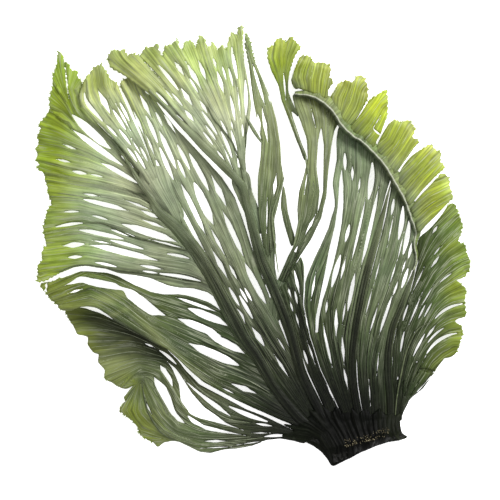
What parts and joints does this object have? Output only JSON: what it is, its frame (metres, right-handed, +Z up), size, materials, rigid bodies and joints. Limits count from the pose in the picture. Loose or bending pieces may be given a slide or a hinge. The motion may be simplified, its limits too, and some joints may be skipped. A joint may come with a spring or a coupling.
{
  "type": "seaweed frond",
  "caption": "Fan-shaped green seaweed frond with split, perforated blades, dark midribs and toothed lime tips, lying flat.",
  "frame": {"origin": "on the flat underside of the holdfast, near its middle", "axes": "+Z up, square to the surface that the frond lies on; +Y from the holdfast towards the tips; +X to the right seen from above"},
  "size_m": [0.2165, 0.2185, 0.0175],
  "materials": {
    "holdfast": "wet, near-black green, rough and fibrous with a torn edge",
    "rib": "satin, dark olive brown, grooved lengthwise",
    "blade": "satin, olive to sage green with fine lengthwise fibres",
    "lobe": "satin, lime green, darker in the folds"
  },
  "bodies": {
    "root": {"holdfast": "holdfast", "left_rib": "rib", "centre_rib": "rib", "right_inner_rib": "rib", "right_outer_rib": "rib", "lower_left_frond": "blade", "left_crest_blade": "blade", "left_middle_blade": "blade", "upper_left_blade": "blade", "upper_left_light_blade": "blade", "upper_middle_blade": "blade", "top_blade": "blade", "top_ribbon": "blade", "short_prong": "blade", "fork_blade": "blade", "centre_left_blade": "blade", "centre_blade": "blade", "right_inner_blade": "blade", "right_outer_blade": "blade", "tall_lobe": "lobe", "crest_lobe_1": "lobe", "crest_lobe_2": "lobe", "crest_lobe_3": "lobe", "crest_lobe_4": "lobe", "crest_lobe_5": "lobe", "crest_lobe_6": "lobe"}
  },
  "joints": []
}
